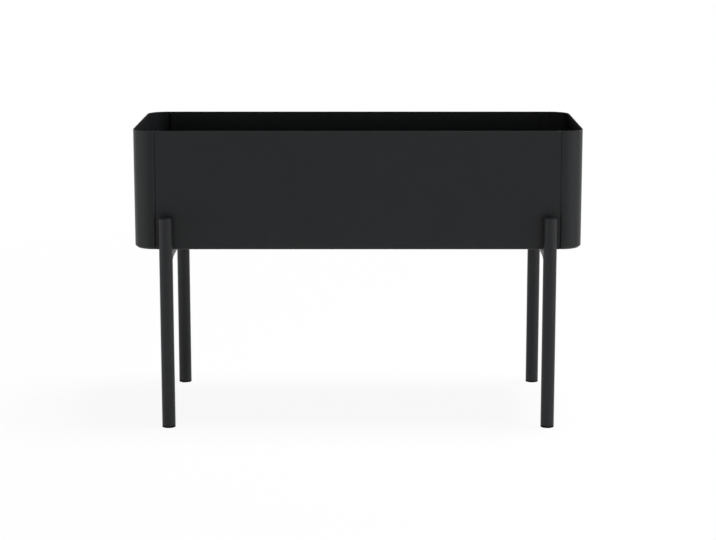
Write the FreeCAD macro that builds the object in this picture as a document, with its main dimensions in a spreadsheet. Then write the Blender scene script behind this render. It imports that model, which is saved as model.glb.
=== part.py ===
import FreeCAD, Part
import os
import re
import Sketcher

# Raised planter: a long open sheet-metal box on two welded tube frames.
# Millimetres, +Z up, +X to the right along the front, +Y towards the back.
# The origin is on the floor, under the middle of the box.

SIZES = {
    # Box
    "box_length": 1000,
    "box_depth": 400,
    "box_height": 265,
    "underside_height": 402,
    "corner_radius": 46,
    "sheet": 2,
    "bend_radius": 2,
    # Seams: the end caps step in behind the walls of the trough
    "seam_flat": 2,
    "joggle_run": 3,
    "seam_gap": 1,
    "lap_width": 11,
    "lap_relief": 1,
    # Floor: the trough's floor carries the bottom flanges of the end caps
    "tongue_inset": 5,
    "flange_width": 30,
    "flange_corner": 16,
    "drain_diameter": 12,
    "drain_margin": 170,
    "drain_count": 4,
    # Leg frames
    "leg_diameter": 30,
    "leg_wall": 2,
    "leg_setback": 12,
    "leg_lap": 73,
    "cross_diameter": 28,
    "cross_wall": 2,
    # Closing discs at the leg tops and glides at the feet
    "disc_thickness": 2,
    "disc_edge": 0.6,
    "glide_band": 4,
    "glide_edge": 0.8,
    "glide_barb": 1,
    "glide_barb_pitch": 6,
    "glide_barb_count": 2,
    "glide_clearance": 0.1,
    # Screws that hold the legs to the walls
    "screw_rise": 48,
    "screw_diameter": 6,
    "screw_length": 16,
    "screw_hole_clearance": 0.5,
    "screw_head_diameter": 10.5,
    "screw_head_height": 3.3,
    "screw_head_rim": 1.2,
    "screw_crown_diameter": 6.4,
    "socket_width": 4,
    "socket_depth": 2,
    "washer_diameter": 14,
    "washer_thickness": 1.5,
    "rivet_flange_diameter": 12,
    "rivet_flange": 1.2,
    "rivet_barrel_diameter": 9,
    "rivet_barrel_length": 14,
    "rivet_hole_clearance": 0.1,
    # Weld studs and nuts that hold the end caps
    "stud_diameter": 4,
    "stud_length": 9,
    "stud_hole_clearance": 0.5,
    "nut_width": 7,
    "nut_height": 3.2,
    "seam_stud_count": 2,
    "seam_stud_foot": 60,
    "seam_stud_drop": 80,
    "floor_stud_count": 2,
    "floor_stud_margin": 60,
    "floor_stud_inset": 20,
}

# Heights
RIM = "(underside_height + box_height)"
CAP_FOOT = "(underside_height + sheet)"
LAP_FOOT = "(underside_height + sheet + bend_radius + lap_relief)"
LEG_TOP = "(underside_height + leg_lap)"
SCREW_HEIGHT = "(underside_height + screw_rise)"
CROSS_HEIGHT = "(underside_height - cross_diameter / 2)"

# Distances from the middle of the box towards an end
CAP_EDGE = "(box_length / 2 - corner_radius - seam_flat)"
LAP_ROOT = f"({CAP_EDGE} - joggle_run)"
LAP_EDGE = f"({LAP_ROOT} - lap_width)"
LAP_MIDDLE = f"({LAP_ROOT} - lap_width / 2)"
WALL_END = f"({LAP_ROOT} - seam_gap)"
LEG_X = f"({LAP_EDGE} - leg_setback)"
FLOOR_STUD_X = "(box_length / 2 - floor_stud_inset)"

# Distances from the middle of the box towards the front or the back
WALL_OUTSIDE = "(box_depth / 2)"
WALL_INSIDE = "(box_depth / 2 - sheet)"
LAP_INSIDE = "(box_depth / 2 - 2 * sheet)"
LEG_Y = "(box_depth / 2 + rivet_flange + leg_diameter / 2)"

LEG_BORE = "(leg_diameter - 2 * leg_wall)"
STUD_HOLE = "(stud_diameter + stud_hole_clearance)"
SCREW_HOLE = "(screw_diameter + screw_hole_clearance)"
SEAM_STUD_SPAN = "(box_height - seam_stud_foot - seam_stud_drop)"
FLOOR_STUD_SPAN = "(box_depth - 2 * floor_stud_margin)"

doc = FreeCAD.newDocument("raised_planter")
sizes = doc.addObject("Spreadsheet::Sheet", "sizes")
for row, (alias, value) in enumerate(SIZES.items(), start=1):
    sizes.set(f"A{row}", alias)
    sizes.set(f"B{row}", str(value))
    sizes.setAlias(f"B{row}", alias)
doc.recompute()

ALIAS = re.compile(r"\b(" + "|".join(SIZES) + r")\b")


def number(formula):
    return float(sizes.evalExpression(formula))


def bind(target, name, formula):
    target.setExpression(name, ALIAS.sub(r"sizes.\1", formula))


def new_body(node, several_solids=False):
    body = doc.addObject("PartDesign::Body", node)
    body.Label = node
    body.AllowCompound = several_solids
    return body


def origin_part(body, role):
    return next(part for part in body.Origin.OriginFeatures if part.Role == role)


def place(body, x="0", y="0", half_turn=False):
    turn = FreeCAD.Rotation(FreeCAD.Vector(0, 0, 1), 180 if half_turn else 0)
    body.Placement = FreeCAD.Placement(FreeCAD.Vector(), turn)
    bind(body, "Placement.Base.x", x)
    bind(body, "Placement.Base.y", y)


def new_sketch(body, name, plane, across="0", up="0", out="0"):
    """A sketch on one of the body's own planes, its origin moved across, up and out of that plane."""
    sketch = body.newObject("Sketcher::SketchObject", name)
    sketch.AttachmentSupport = [(origin_part(body, plane), "")]
    sketch.MapMode = "FlatFace"
    bind(sketch, "AttachmentOffset.Base.x", across)
    bind(sketch, "AttachmentOffset.Base.y", up)
    bind(sketch, "AttachmentOffset.Base.z", out)
    return sketch


def fix_point(sketch, geometry, point, x, y):
    """Hold a point of the sketch at two formulas, measured from the sketch's origin."""
    for kind, formula in (("DistanceX", x), ("DistanceY", y)):
        distance = Sketcher.Constraint(kind, -1, 1, geometry, point, number(formula))
        index = sketch.addConstraint(distance)
        name = f"{kind}_{geometry}"
        sketch.renameConstraint(index, name)
        bind(sketch, f"Constraints.{name}", formula)


def outline(sketch, corners):
    """A closed outline with straight sides; each corner is a pair of formulas."""
    points = [FreeCAD.Vector(number(x), number(y), 0) for x, y in corners]
    first = sketch.GeometryCount
    count = len(corners)
    for index, point in enumerate(points):
        sketch.addGeometry(Part.LineSegment(point, points[(index + 1) % count]), False)
    for index in range(count):
        after = first + (index + 1) % count
        sketch.addConstraint(Sketcher.Constraint("Coincident", first + index, 2, after, 1))
    for index, (x, y) in enumerate(corners):
        fix_point(sketch, first + index, 1, x, y)


def rectangle(sketch, left, bottom, right, top):
    outline(sketch, [(left, bottom), (right, bottom), (right, top), (left, top)])


def circle(sketch, x, y, diameter):
    centre = FreeCAD.Vector(number(x), number(y), 0)
    upwards = FreeCAD.Vector(0, 0, 1)
    index = sketch.addGeometry(Part.Circle(centre, upwards, number(diameter) / 2), False)
    fix_point(sketch, index, 3, x, y)
    constraint = sketch.addConstraint(Sketcher.Constraint("Diameter", index, number(diameter)))
    name = f"Diameter_{index}"
    sketch.renameConstraint(constraint, name)
    bind(sketch, f"Constraints.{name}", diameter)


def pad(body, sketch, length, side="One side", backwards=False):
    feature = body.newObject("PartDesign::Pad", f"{sketch.Name}_pad")
    feature.Profile = sketch
    feature.SideType = side
    feature.Reversed = backwards
    bind(feature, "Length", length)
    doc.recompute()
    return feature


def pocket(body, sketch, side="One side", backwards=False):
    """Cut the sketch through everything on one side of it or on both, and see that it cut."""
    before = body.Shape.Volume
    feature = body.newObject("PartDesign::Pocket", f"{sketch.Name}_pocket")
    feature.Profile = sketch
    feature.Type = "ThroughAll"
    feature.SideType = side
    feature.Reversed = backwards
    doc.recompute()
    if not body.Shape.Volume < before:
        raise RuntimeError(f"{feature.Name} cuts nothing")
    return feature


def revolve(body, sketch, axis):
    feature = body.newObject("PartDesign::Revolution", f"{sketch.Name}_turned")
    feature.Profile = sketch
    feature.ReferenceAxis = (sketch, [axis])
    feature.Angle = 360
    doc.recompute()
    return feature


def fillet(body, base, chosen, radius):
    """Round the edges of the base feature that the chosen function picks."""
    picked = [f"Edge{i}" for i, edge in enumerate(base.Shape.Edges, start=1) if chosen(edge)]
    feature = body.newObject("PartDesign::Fillet", f"{base.Name}_round")
    feature.Base = (base, picked)
    bind(feature, "Radius", radius)
    doc.recompute()
    return feature


def shell(body, base, is_open):
    """Hollow the base feature to the sheet's thickness, open at the faces that is_open picks."""
    picked = [f"Face{i}" for i, face in enumerate(base.Shape.Faces, start=1) if is_open(face)]
    feature = body.newObject("PartDesign::Thickness", f"{base.Name}_shell")
    feature.Base = (base, picked)
    feature.Reversed = True
    feature.Join = "Intersection"
    bind(feature, "Value", "sheet")
    doc.recompute()
    return feature


def repeat(body, originals, row=None, mirrors=()):
    """Copy features along a row (axis, span, count) and over the body's own mirror planes."""
    steps = []
    if row:
        axis, span, count = row
        pattern = body.newObject("PartDesign::LinearPattern", f"{originals[0].Name}_row")
        pattern.Direction = (origin_part(body, axis), [""])
        bind(pattern, "Length", span)
        bind(pattern, "Occurrences", count)
        steps.append(pattern)
    for plane in mirrors:
        mirror = body.newObject("PartDesign::Mirrored", f"{originals[0].Name}_mirror")
        mirror.MirrorPlane = (origin_part(body, plane), [""])
        steps.append(mirror)
    feature = body.newObject("PartDesign::MultiTransform", f"{originals[0].Name}_copies")
    feature.Originals = originals
    feature.Transformations = steps
    body.Tip = feature
    doc.recompute()
    return feature


def is_at(distance, formula):
    tolerance = 0.001
    return abs(distance - number(formula)) < tolerance


def is_upright_at(edge, formula):
    """True for an upright edge at the formula's distance from the middle of the box."""
    direction = edge.tangentAt(edge.FirstParameter)
    return direction.isParallel(FreeCAD.Vector(0, 0, 1), 0.001) and is_at(abs(edge.CenterOfMass.x), formula)


def make_trough():
    """Front wall, floor and back wall folded from one sheet, with a floor tongue under each end cap."""
    body = new_body("trough")
    section = new_sketch(body, "trough_section", "YZ_Plane")
    rectangle(section, f"-{WALL_OUTSIDE}", "underside_height", WALL_OUTSIDE, RIM)
    block = pad(body, section, f"2 * {WALL_END}", side="Symmetric")

    def is_fold(edge):
        centre = edge.CenterOfMass
        return is_at(centre.z, "underside_height") and is_at(abs(centre.y), WALL_OUTSIDE)

    def is_open(face):
        centre = face.CenterOfMass
        return is_at(centre.z, RIM) or is_at(abs(centre.x), WALL_END)

    folded = fillet(body, block, is_fold, "sheet + bend_radius")
    shell(body, folded, is_open)

    tongue_end = "(box_length / 2 - tongue_inset)"
    tongue_side = "(box_depth / 2 - tongue_inset)"
    tongue = new_sketch(body, "trough_floor", "XY_Plane", out="underside_height")
    rectangle(tongue, f"-{tongue_end}", f"-{tongue_side}", tongue_end, tongue_side)
    floor = pad(body, tongue, "sheet")
    tongue_corner = "corner_radius - tongue_inset"
    fillet(body, floor, lambda edge: is_upright_at(edge, tongue_end), tongue_corner)

    screw_holes = new_sketch(body, "trough_screw_holes", "XZ_Plane")
    circle(screw_holes, LEG_X, SCREW_HEIGHT, SCREW_HOLE)
    circle(screw_holes, f"-{LEG_X}", SCREW_HEIGHT, SCREW_HOLE)
    pocket(body, screw_holes, side="Symmetric")

    drain = new_sketch(body, "trough_drain", "XY_Plane")
    circle(drain, "drain_margin - box_length / 2", "0", "drain_diameter")
    first_drain = pocket(body, drain, side="Symmetric")
    repeat(body, [first_drain], row=("X_Axis", "box_length - 2 * drain_margin", "drain_count"))
    return body


def make_end_cap(node, half_turn):
    """End wall and two rounded corners, with a bottom flange and a stepped lap behind each wall."""
    body = new_body(node)
    plan = new_sketch(body, f"{node}_plan", "XY_Plane", out=CAP_FOOT)
    rectangle(plan, CAP_EDGE, f"-{WALL_OUTSIDE}", "box_length / 2", WALL_OUTSIDE)
    block = pad(body, plan, f"{RIM} - {CAP_FOOT}")

    def is_fold(edge):
        centre = edge.CenterOfMass
        return is_at(centre.z, CAP_FOOT) and not is_at(centre.x, CAP_EDGE)

    def is_open(face):
        centre = face.CenterOfMass
        return is_at(centre.z, RIM) or is_at(centre.x, CAP_EDGE)

    rounded = fillet(body, block, lambda edge: is_upright_at(edge, "box_length / 2"), "corner_radius")
    folded = fillet(body, rounded, is_fold, "sheet + bend_radius")
    shell(body, folded, is_open)

    flange_end = "(box_length / 2 - flange_width)"
    flange_side = "(box_depth / 2 - flange_width)"
    opening = new_sketch(body, f"{node}_opening", "XY_Plane", out=CAP_FOOT)
    rectangle(opening, f"{CAP_EDGE} - sheet", f"-{flange_side}", flange_end, flange_side)
    flange = pocket(body, opening, backwards=True)
    fillet(body, flange, lambda edge: is_upright_at(edge, flange_end), "flange_corner")

    # The sheet keeps its thickness through the step, so its inner corners lie a little further out
    step_shift = "(sqrt(joggle_run ^ 2 + sheet ^ 2) - joggle_run)"
    lap = new_sketch(body, f"{node}_lap", "XY_Plane", out=LAP_FOOT)
    outline(
        lap,
        [
            (CAP_EDGE, f"-{WALL_OUTSIDE}"),
            (f"{CAP_EDGE} + {step_shift}", f"-{WALL_INSIDE}"),
            (f"{LAP_ROOT} + {step_shift}", f"-{LAP_INSIDE}"),
            (LAP_EDGE, f"-{LAP_INSIDE}"),
            (LAP_EDGE, f"-{WALL_INSIDE}"),
            (LAP_ROOT, f"-{WALL_INSIDE}"),
        ],
    )
    front_lap = pad(body, lap, f"{RIM} - {LAP_FOOT}")
    repeat(body, [front_lap], mirrors=["XZ_Plane"])

    seam_hole = new_sketch(body, f"{node}_seam_hole", "XZ_Plane")
    circle(seam_hole, LAP_MIDDLE, "underside_height + seam_stud_foot", STUD_HOLE)
    first_seam_hole = pocket(body, seam_hole, side="Symmetric")
    repeat(body, [first_seam_hole], row=("Z_Axis", SEAM_STUD_SPAN, "seam_stud_count"))

    floor_hole = new_sketch(body, f"{node}_floor_hole", "XY_Plane")
    circle(floor_hole, FLOOR_STUD_X, "floor_stud_margin - box_depth / 2", STUD_HOLE)
    first_floor_hole = pocket(body, floor_hole, backwards=True)
    repeat(body, [first_floor_hole], row=("Y_Axis", FLOOR_STUD_SPAN, "floor_stud_count"))
    place(body, half_turn=half_turn)
    return body


def make_leg(node, x, y, half_turn):
    """An upright tube with one hole for its rivet nut, on the side that faces the box."""
    body = new_body(node)
    ring = new_sketch(body, f"{node}_ring", "XY_Plane", out="glide_band")
    circle(ring, "0", "0", "leg_diameter")
    circle(ring, "0", "0", LEG_BORE)
    pad(body, ring, f"{LEG_TOP} - disc_thickness - glide_band")
    hole = new_sketch(body, f"{node}_hole", "XZ_Plane")
    circle(hole, "0", SCREW_HEIGHT, "rivet_barrel_diameter + rivet_hole_clearance")
    pocket(body, hole)
    place(body, x, y, half_turn)
    return body


def make_cross_tube(node, x):
    """The tube under the floor, its ends coped to fit round the two legs that it is welded to."""
    body = new_body(node)
    ring = new_sketch(body, f"{node}_ring", "XZ_Plane")
    circle(ring, "0", CROSS_HEIGHT, "cross_diameter")
    circle(ring, "0", CROSS_HEIGHT, "cross_diameter - 2 * cross_wall")
    pad(body, ring, f"2 * {LEG_Y}", side="Symmetric")
    cope = new_sketch(body, f"{node}_cope", "XY_Plane")
    circle(cope, "0", LEG_Y, "leg_diameter")
    circle(cope, "0", f"-{LEG_Y}", "leg_diameter")
    pocket(body, cope, side="Symmetric")
    place(body, x)
    return body


def make_leg_disc(node, x, y):
    """The disc that is welded on to close a leg's top, its upper edge ground off."""
    body = new_body(node)
    profile = new_sketch(body, f"{node}_profile", "XZ_Plane", up=f"{LEG_TOP} - disc_thickness")
    outline(
        profile,
        [
            ("0", "0"),
            ("leg_diameter / 2", "0"),
            ("leg_diameter / 2", "disc_thickness - disc_edge"),
            ("leg_diameter / 2 - disc_edge", "disc_thickness"),
            ("0", "disc_thickness"),
        ],
    )
    revolve(body, profile, "V_Axis")
    place(body, x, y)
    return body


def make_foot_glide(node, x, y):
    """A push-in glide: a band that shows under the leg, and a plug ringed with barbs."""
    body = new_body(node)
    profile = new_sketch(body, f"{node}_profile", "XZ_Plane")
    tip_radius = f"({LEG_BORE} / 2 - glide_clearance)"
    core_radius = f"({tip_radius} - glide_barb)"
    corners = [
        ("0", "0"),
        ("leg_diameter / 2 - glide_edge", "0"),
        ("leg_diameter / 2", "glide_edge"),
        ("leg_diameter / 2", "glide_band"),
        (core_radius, "glide_band"),
    ]
    for barb in range(int(number("glide_barb_count"))):
        underside = f"glide_band + ({barb} + 1 / 2) * glide_barb_pitch"
        corners.append((core_radius, underside))
        corners.append((tip_radius, underside))
        corners.append((core_radius, f"{underside} + glide_barb_pitch / 2"))
    plug_top = "glide_band + (glide_barb_count + 1 / 2) * glide_barb_pitch"
    corners += [(core_radius, plug_top), ("0", plug_top)]
    outline(profile, corners)
    revolve(body, profile, "V_Axis")
    place(body, x, y)
    return body


def leg_screw_sketch(body, name):
    """A sketch through the axis of the front right leg screw, its first axis towards the back."""
    return new_sketch(body, name, "YZ_Plane", up=SCREW_HEIGHT, out=LEG_X)


def hexagon(width):
    """Corners of a hexagon, given its width across the flats, round the sketch's origin."""
    sides = 6
    turns = [f"{360 / sides * corner}" for corner in range(sides)]
    return [(f"{width} / sqrt(3) * cos({turn})", f"{width} / sqrt(3) * sin({turn})") for turn in turns]


def make_leg_screws():
    """Button-head screws with a hexagon socket, put in from inside the trough."""
    body = new_body("leg_screws", several_solids=True)
    seat = f"(washer_thickness - {WALL_INSIDE})"
    profile = leg_screw_sketch(body, "leg_screw_profile")
    outline(
        profile,
        [
            (f"{seat} - screw_length", "0"),
            (f"{seat} + screw_head_height", "0"),
            (f"{seat} + screw_head_height", "screw_crown_diameter / 2"),
            (f"{seat} + screw_head_rim", "screw_head_diameter / 2"),
            (seat, "screw_head_diameter / 2"),
            (seat, "screw_diameter / 2"),
            (f"{seat} - screw_length", "screw_diameter / 2"),
        ],
    )
    screw = revolve(body, profile, "H_Axis")
    socket_floor = f"{WALL_INSIDE} - washer_thickness - screw_head_height + socket_depth"
    socket = new_sketch(body, "leg_screw_socket", "XZ_Plane", LEG_X, SCREW_HEIGHT, socket_floor)
    outline(socket, hexagon("socket_width"))
    recess = pocket(body, socket)
    repeat(body, [screw, recess], mirrors=["YZ_Plane", "XZ_Plane"])
    return body


def make_leg_washers():
    """Sealing washers between the screw heads and the trough's walls."""
    body = new_body("leg_washers", several_solids=True)
    profile = leg_screw_sketch(body, "leg_washer_profile")
    hole_radius = f"{SCREW_HOLE} / 2"
    rectangle(
        profile, f"-{WALL_INSIDE}", hole_radius, f"washer_thickness - {WALL_INSIDE}", "washer_diameter / 2"
    )
    washer = revolve(body, profile, "H_Axis")
    repeat(body, [washer], mirrors=["YZ_Plane", "XZ_Plane"])
    return body


def make_leg_rivet_nuts():
    """Rivet nuts set in the legs; their flanges hold the legs just off the walls."""
    body = new_body("leg_rivet_nuts", several_solids=True)
    profile = leg_screw_sketch(body, "leg_rivet_nut_profile")
    leg_face = f"(-{WALL_OUTSIDE} - rivet_flange)"
    bore_radius = "screw_diameter / 2"
    barrel_radius = "rivet_barrel_diameter / 2"
    outline(
        profile,
        [
            (f"-{WALL_OUTSIDE}", bore_radius),
            (f"-{WALL_OUTSIDE}", "rivet_flange_diameter / 2"),
            (leg_face, "rivet_flange_diameter / 2"),
            (leg_face, barrel_radius),
            (f"{leg_face} - rivet_barrel_length", barrel_radius),
            (f"{leg_face} - rivet_barrel_length", bore_radius),
        ],
    )
    rivet_nut = revolve(body, profile, "H_Axis")
    repeat(body, [rivet_nut], mirrors=["YZ_Plane", "XZ_Plane"])
    return body


def make_seam_studs():
    """Weld studs on the trough's walls, through the laps of the end caps."""
    body = new_body("seam_studs", several_solids=True)
    height = "underside_height + seam_stud_foot"
    base = new_sketch(body, "seam_stud_base", "XZ_Plane", LAP_MIDDLE, height, WALL_INSIDE)
    circle(base, "0", "0", "stud_diameter")
    stud = pad(body, base, "stud_length", backwards=True)
    row = ("Z_Axis", SEAM_STUD_SPAN, "seam_stud_count")
    repeat(body, [stud], row=row, mirrors=["YZ_Plane", "XZ_Plane"])
    return body


def make_seam_nuts():
    """Nuts on the seam studs, tight against the laps."""
    body = new_body("seam_nuts", several_solids=True)
    height = "underside_height + seam_stud_foot"
    face = new_sketch(body, "seam_nut_face", "XZ_Plane", LAP_MIDDLE, height, LAP_INSIDE)
    outline(face, hexagon("nut_width"))
    circle(face, "0", "0", "stud_diameter")
    nut = pad(body, face, "nut_height", backwards=True)
    row = ("Z_Axis", SEAM_STUD_SPAN, "seam_stud_count")
    repeat(body, [nut], row=row, mirrors=["YZ_Plane", "XZ_Plane"])
    return body


def make_floor_studs():
    """Weld studs on the floor tongues, through the bottom flanges of the end caps."""
    body = new_body("floor_studs", several_solids=True)
    margin = "floor_stud_margin - box_depth / 2"
    base = new_sketch(body, "floor_stud_base", "XY_Plane", FLOOR_STUD_X, margin, CAP_FOOT)
    circle(base, "0", "0", "stud_diameter")
    stud = pad(body, base, "stud_length")
    row = ("Y_Axis", FLOOR_STUD_SPAN, "floor_stud_count")
    repeat(body, [stud], row=row, mirrors=["YZ_Plane"])
    return body


def make_floor_nuts():
    """Nuts on the floor studs, tight against the bottom flanges."""
    body = new_body("floor_nuts", several_solids=True)
    margin = "floor_stud_margin - box_depth / 2"
    face = new_sketch(body, "floor_nut_face", "XY_Plane", FLOOR_STUD_X, margin, f"{CAP_FOOT} + sheet")
    outline(face, hexagon("nut_width"))
    circle(face, "0", "0", "stud_diameter")
    nut = pad(body, face, "nut_height")
    row = ("Y_Axis", FLOOR_STUD_SPAN, "floor_stud_count")
    repeat(body, [nut], row=row, mirrors=["YZ_Plane"])
    return body


bodies = [
    make_trough(),
    make_end_cap("right_end_cap", half_turn=False),
    make_end_cap("left_end_cap", half_turn=True),
]
for end, x in (("left", f"-{LEG_X}"), ("right", LEG_X)):
    bodies.append(make_cross_tube(f"{end}_cross_tube", x))
    for face, y, at_back in (("front", f"-{LEG_Y}", False), ("back", LEG_Y, True)):
        bodies.append(make_leg(f"{face}_{end}_leg", x, y, half_turn=at_back))
        bodies.append(make_leg_disc(f"{face}_{end}_leg_disc", x, y))
        bodies.append(make_foot_glide(f"{face}_{end}_foot_glide", x, y))
bodies += [
    make_leg_screws(),
    make_leg_washers(),
    make_leg_rivet_nuts(),
    make_seam_studs(),
    make_seam_nuts(),
    make_floor_studs(),
    make_floor_nuts(),
]
doc.recompute()

for item in doc.Objects:
    if "Invalid" in item.State or "Error" in item.State:
        raise RuntimeError(f"{item.Name} failed: {item.State}")
for body in bodies:
    if body.Shape.isNull() or not body.Shape.isValid():
        raise RuntimeError(f"{body.Label} has no valid shape")

os.makedirs("parts", exist_ok=True)
for body in bodies:
    body.Shape.exportStep(os.path.join("parts", f"{body.Label}.step"))
    print(body.Label, len(body.Shape.Solids), "solid(s),", round(body.Shape.Volume), "mm3")
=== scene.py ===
# %% [markdown]
# # A raised planter in powder-coated steel
#
# The object is a long open box of folded sheet on four round legs. Its engineering model is already
# packed as a frame: one rigid body, named "root", with a node for every piece. This lesson dresses
# each node with a finer mesh and a real finish, then sets up the studio and the camera.
#
# Everything is in metres, in the frame's own axes: +X to the right along the front, +Y to the back
# and +Z up, with the floor at height 0.

import math

import bmesh
import bpy
from mathutils import Matrix, Vector


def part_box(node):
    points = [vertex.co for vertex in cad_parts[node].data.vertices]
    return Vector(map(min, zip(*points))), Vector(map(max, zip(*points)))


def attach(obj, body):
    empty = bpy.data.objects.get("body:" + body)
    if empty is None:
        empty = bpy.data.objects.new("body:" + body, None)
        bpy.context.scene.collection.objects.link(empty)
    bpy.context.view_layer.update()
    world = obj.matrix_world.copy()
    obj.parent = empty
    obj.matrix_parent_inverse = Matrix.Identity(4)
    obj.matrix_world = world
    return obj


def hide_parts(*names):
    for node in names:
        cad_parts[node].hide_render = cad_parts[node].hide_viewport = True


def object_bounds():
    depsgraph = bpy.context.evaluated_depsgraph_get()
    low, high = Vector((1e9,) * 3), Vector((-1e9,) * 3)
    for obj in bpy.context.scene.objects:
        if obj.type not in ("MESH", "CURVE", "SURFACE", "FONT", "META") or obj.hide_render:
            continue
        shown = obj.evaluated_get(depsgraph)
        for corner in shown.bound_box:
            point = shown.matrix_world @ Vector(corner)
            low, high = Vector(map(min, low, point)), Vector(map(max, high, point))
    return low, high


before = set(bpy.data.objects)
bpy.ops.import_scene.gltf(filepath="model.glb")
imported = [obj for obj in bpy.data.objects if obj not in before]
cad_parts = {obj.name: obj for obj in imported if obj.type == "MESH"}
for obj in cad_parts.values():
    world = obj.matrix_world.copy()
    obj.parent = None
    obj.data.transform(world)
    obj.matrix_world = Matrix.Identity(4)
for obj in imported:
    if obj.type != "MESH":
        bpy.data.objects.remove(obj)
cad_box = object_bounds()
BODY = "root"
MM = 0.001
print("nodes in the frame:", len(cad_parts))

# %% [markdown]
# ## Measures
#
# A finer piece has to sit exactly where its node is. Most places can be read from the boxes of the
# nodes, so they follow the frame by themselves. Only what a box cannot tell, such as the thickness of
# the sheet or the radius of a corner, is written down as a named size.

# %% Measures of the box and its sheet
trough_low, trough_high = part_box("trough")
cap_low, cap_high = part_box("right_end_cap")

SHEET = 2 * MM
BEND_RADIUS = 4 * MM
CORNER_RADIUS = 46 * MM
LAP_WIDTH = 11 * MM
STEP_RUN = 3 * MM
SEAM_GAP = 1 * MM
FLANGE_WIDTH = 30 * MM
TONGUE_INSET = 5 * MM

RIM = trough_high.z
UNDERSIDE = trough_low.z
CAP_FOOT = cap_low.z
BOX_END = cap_high.x
BOX_SIDE = trough_high.y
LAP_EDGE = cap_low.x
LAP_ROOT = LAP_EDGE + LAP_WIDTH
CAP_EDGE = LAP_ROOT + STEP_RUN
WALL_END = LAP_ROOT - SEAM_GAP
TONGUE_END = trough_high.x
TONGUE_SIDE = BOX_SIDE - TONGUE_INSET
print("box:", [round(value / MM) for value in (2 * BOX_END, 2 * BOX_SIDE, RIM - UNDERSIDE)], "mm")

# %% Measures of the legs
leg_low, leg_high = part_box("front_right_leg")
disc_low, disc_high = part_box("front_right_leg_disc")
glide_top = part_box("front_right_foot_glide")[1].z
rail_low, rail_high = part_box("right_cross_tube")

TUBE_WALL = 2 * MM
LEG_RADIUS = (leg_high.x - leg_low.x) / 2
LEG_X = (leg_high.x + leg_low.x) / 2
LEG_Y = -(leg_high.y + leg_low.y) / 2
RAIL_RADIUS = (rail_high.x - rail_low.x) / 2
RAIL_HEIGHT = (rail_high.z + rail_low.z) / 2
LEG_CORNERS = {
    "front_left": (-LEG_X, -LEG_Y),
    "front_right": (LEG_X, -LEG_Y),
    "back_left": (-LEG_X, LEG_Y),
    "back_right": (LEG_X, LEG_Y),
}
print("leg radius:", round(LEG_RADIUS / MM, 1), "mm, leg top:", round(disc_high.z / MM), "mm")

# %% [markdown]
# ## Helpers
#
# A mesh in Blender is data; an object shows it. Every piece here ends as a plain mesh at the origin,
# with its place in its vertices, because the frame's own nodes work like that too. `baked` freezes
# whatever modifiers an object has into such a mesh.

# %% Objects and meshes
JOIN_DISTANCE = 0.01 * MM


def new_object(name, data):
    obj = bpy.data.objects.new(name, data)
    bpy.context.scene.collection.objects.link(obj)
    return obj


def baked(obj):
    """The object's mesh with its modifiers applied; the object itself is removed."""
    depsgraph = bpy.context.evaluated_depsgraph_get()
    mesh = bpy.data.meshes.new_from_object(obj.evaluated_get(depsgraph), depsgraph=depsgraph)
    bpy.data.objects.remove(obj)
    return mesh


def mesh_from(bm, name):
    bmesh.ops.recalc_face_normals(bm, faces=bm.faces)
    mesh = bpy.data.meshes.new(name)
    bm.to_mesh(mesh)
    bm.free()
    return mesh


# %% [markdown]
# The sheets and most fasteners get soft edges. A small Bevel rounds them, as a coat of paint or a press
# tool does, and a line of light can run along them. Weighted Normal then lets the large faces decide the
# shading, so that flat sheet stays flat between its rounded edges. Tubes and other round pieces need
# less: smooth shading, with a crease where the surface turns by more than a given angle.

# %% Edges of a mesh
SHARP = math.radians(35)


def with_soft_edges(mesh, radius, segments=2):
    mesh.shade_smooth()
    obj = new_object("soft_edges", mesh)
    bevel = obj.modifiers.new("bevel", "BEVEL")
    bevel.limit_method = "ANGLE"
    bevel.angle_limit = SHARP
    bevel.width = radius
    bevel.segments = segments
    bevel.use_clamp_overlap = True
    normals = obj.modifiers.new("normals", "WEIGHTED_NORMAL")
    normals.keep_sharp = True
    return baked(obj)


def crease(mesh, angle=SHARP):
    mesh.shade_smooth()
    mesh.set_sharp_from_angle(angle=angle)


# %% [markdown]
# A finished piece rides on the body, takes the finish that it is given, and hides the node
# that it stands for.

# %% Keep a finished piece
def keep_piece(name, mesh, material, slot, *nodes):
    mesh.materials.clear()
    mesh.materials.append(material)
    piece = new_object(name, mesh)
    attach(piece, BODY)
    if nodes:
        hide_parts(*nodes)
    print(f"{name}: {len(mesh.polygons)} faces")


# %% [markdown]
# ## Finishes
#
# A material is a small graph of nodes. The helpers below add a node, set its plain values and wire its
# inputs, so that each finish reads as a short list. All patterns use Object coordinates: they are in
# metres, so a noise with scale 1000 has features of about one millimetre.

# %% Helpers for node graphs
def feed(tree, socket, value):
    """Wire another node's output to a socket, or set a plain value there."""
    if isinstance(value, bpy.types.NodeSocket):
        tree.links.new(value, socket)
    else:
        socket.default_value = value


def add_node(tree, kind, settings=None, **inputs):
    """A new node. settings are its own properties; an input is a value or another node's output."""
    node = tree.nodes.new(kind)
    for name, value in (settings or {}).items():
        setattr(node, name, value)
    for name, value in inputs.items():
        feed(tree, node.inputs[name.replace("_", " ")], value)
    return node


def calculated(tree, operation, *values):
    """The output of a Math node."""
    node = add_node(tree, "ShaderNodeMath", {"operation": operation})
    for socket, value in zip(node.inputs, values):
        feed(tree, socket, value)
    return node.outputs[0]


# %% Start a material and wire its shader
def empty_tree(owner):
    """The node tree of a new material or world, without the nodes that it starts with."""
    owner.use_nodes = True
    owner.node_tree.nodes.clear()
    return owner.node_tree


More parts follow.
